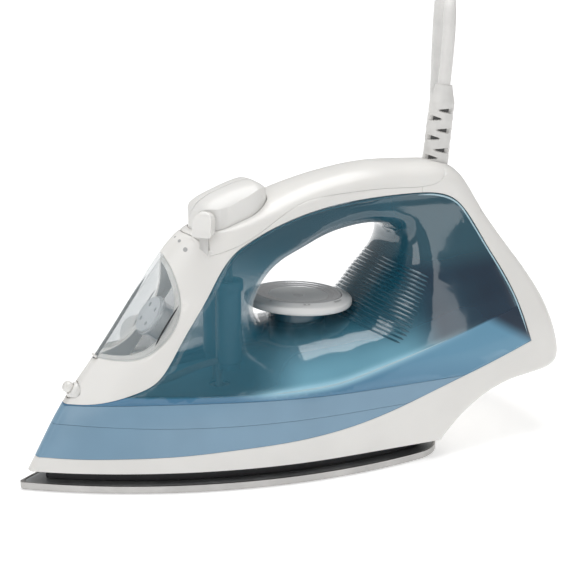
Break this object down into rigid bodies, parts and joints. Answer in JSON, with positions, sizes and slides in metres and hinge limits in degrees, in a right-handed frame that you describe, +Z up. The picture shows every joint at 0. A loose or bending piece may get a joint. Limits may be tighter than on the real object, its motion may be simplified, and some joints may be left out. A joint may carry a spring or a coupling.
{
  "type": "steam iron",
  "caption": "Steam iron with a pointed steel soleplate, clear water tank in a moulded housing, open loop handle, turning heat dial, pump buttons, steam lever and coiled mains lead.",
  "frame": {"origin": "on the underside of the soleplate, on the iron's middle plane, below the heat dial", "axes": "+X towards the heel, so the nose points to -X; +Y across the iron, away from the side the steam lever rests on; +Z up"},
  "size_m": [0.3031, 0.2265, 0.249],
  "materials": {
    "white_shell": "moulded ABS, soft gloss",
    "blue_band": "moulded steel-blue plastic, soft gloss",
    "blue_clear": "clear tinted polycarbonate, glossy",
    "clear_window": "clear polycarbonate, glossy",
    "white_button": "moulded ABS, satin",
    "white_trim": "moulded plastic, satin",
    "dial_white": "moulded plastic, satin",
    "dial_grey": "spun satin grey insert",
    "sole_steel": "satin pressed steel",
    "cast_alloy": "as cast",
    "heater_steel": "dull tube",
    "black_shield": "black phenolic",
    "spring_steel": "drawn wire and plated screws",
    "inner_plastic": "natural acetal",
    "hose_rubber": "silicone",
    "brass_part": "stamped",
    "fuse_fabric": "glass-fibre sleeve",
    "lamp_lens": "tinted lens",
    "lead_wire": "silicone-insulated wire",
    "sleeve_rubber": "soft moulded, satin",
    "cord_white": "PVC sheath, satin",
    "plug_white": "moulded on the cord",
    "plug_brass": "nickel-plated pins"
  },
  "bodies": {
    "housing": {"soleplate": "sole_steel", "soleplate_casting": "cast_alloy", "heating_element": "heater_steel", "steam_chamber_lid": "cast_alloy", "heat_shield": "black_shield", "sole_screws": "spring_steel", "thermostat": "brass_part", "thermal_fuse": "fuse_fabric", "band_lower": "blue_band", "band_upper": "blue_band", "water_tank": "blue_clear", "top_cover": "white_shell", "front_frame": "white_shell", "rear_cover": "white_shell", "base_housing": "white_shell", "filler_bezel": "white_trim", "tank_floor": "white_trim", "spray_pump": "white_trim", "spray_spring": "spring_steel", "boost_pump": "white_trim", "boost_spring": "spring_steel", "valve_seat": "hose_rubber", "dial_collar": "white_trim", "filler_port": "clear_window", "filler_strainer": "inner_plastic", "nozzle_collar": "white_trim", "spray_nozzle": "inner_plastic", "spray_hose": "hose_rubber", "boost_tube": "hose_rubber", "cord_bracket": "black_shield", "terminal_block": "black_shield", "pilot_lamp": "lamp_lens", "cord_clamp": "black_shield", "clamp_screws": "spring_steel", "wire_duct": "hose_rubber", "internal_leads": "lead_wire", "back_screw": "spring_steel", "cord_gland": "sleeve_rubber", "strain_relief": "sleeve_rubber", "cord": "cord_white", "cord_tail": "cord_white", "cord_coil": "cord_white", "cord_tie": "cord_white", "plug_body": "plug_white", "plug_pins": "plug_brass"},
    "dial_body": {"dial": "dial_white", "dial_inlay": "dial_grey", "dial_shaft": "inner_plastic"},
    "spray_button_body": {"spray_button": "white_button", "spray_piston": "inner_plastic"},
    "boost_button_body": {"boost_button": "white_button", "boost_piston": "inner_plastic"},
    "steam_lever_body": {"steam_lever": "white_button", "valve_rod": "white_trim"},
    "filler_door_body": {"filler_door": "clear_window", "door_hinge_pin": "spring_steel"}
  },
  "joints": [
    {"name": "dial_turn", "type": "hinge", "parent": "housing", "child": "dial_body", "pos_m": [0.006, 0, 0.0796], "axis": [0.0523, 0, 0.9986], "range_deg": [0, 285]},
    {"name": "steam_lever_swing", "type": "hinge", "parent": "housing", "child": "steam_lever_body", "pos_m": [-0.0398, 0, 0.125], "axis": [0, 0, 1], "range_deg": [-95.2, 0]},
    {"name": "spray_press", "type": "slide", "parent": "housing", "child": "spray_button_body", "axis": [0, 0, -1], "range_m": [0, 0.004], "stiffness_N_per_m": 700, "springref_m": -0.003, "deforming": ["spray_spring"]},
    {"name": "boost_press", "type": "slide", "parent": "housing", "child": "boost_button_body", "axis": [0, 0, -1], "range_m": [0, 0.004], "stiffness_N_per_m": 700, "springref_m": -0.003, "deforming": ["boost_spring"]},
    {"name": "filler_door_open", "type": "hinge", "parent": "housing", "child": "filler_door_body", "pos_m": [-0.1086, 0, 0.0659], "axis": [0, -1, 0], "range_deg": [0, 75]}
  ]
}
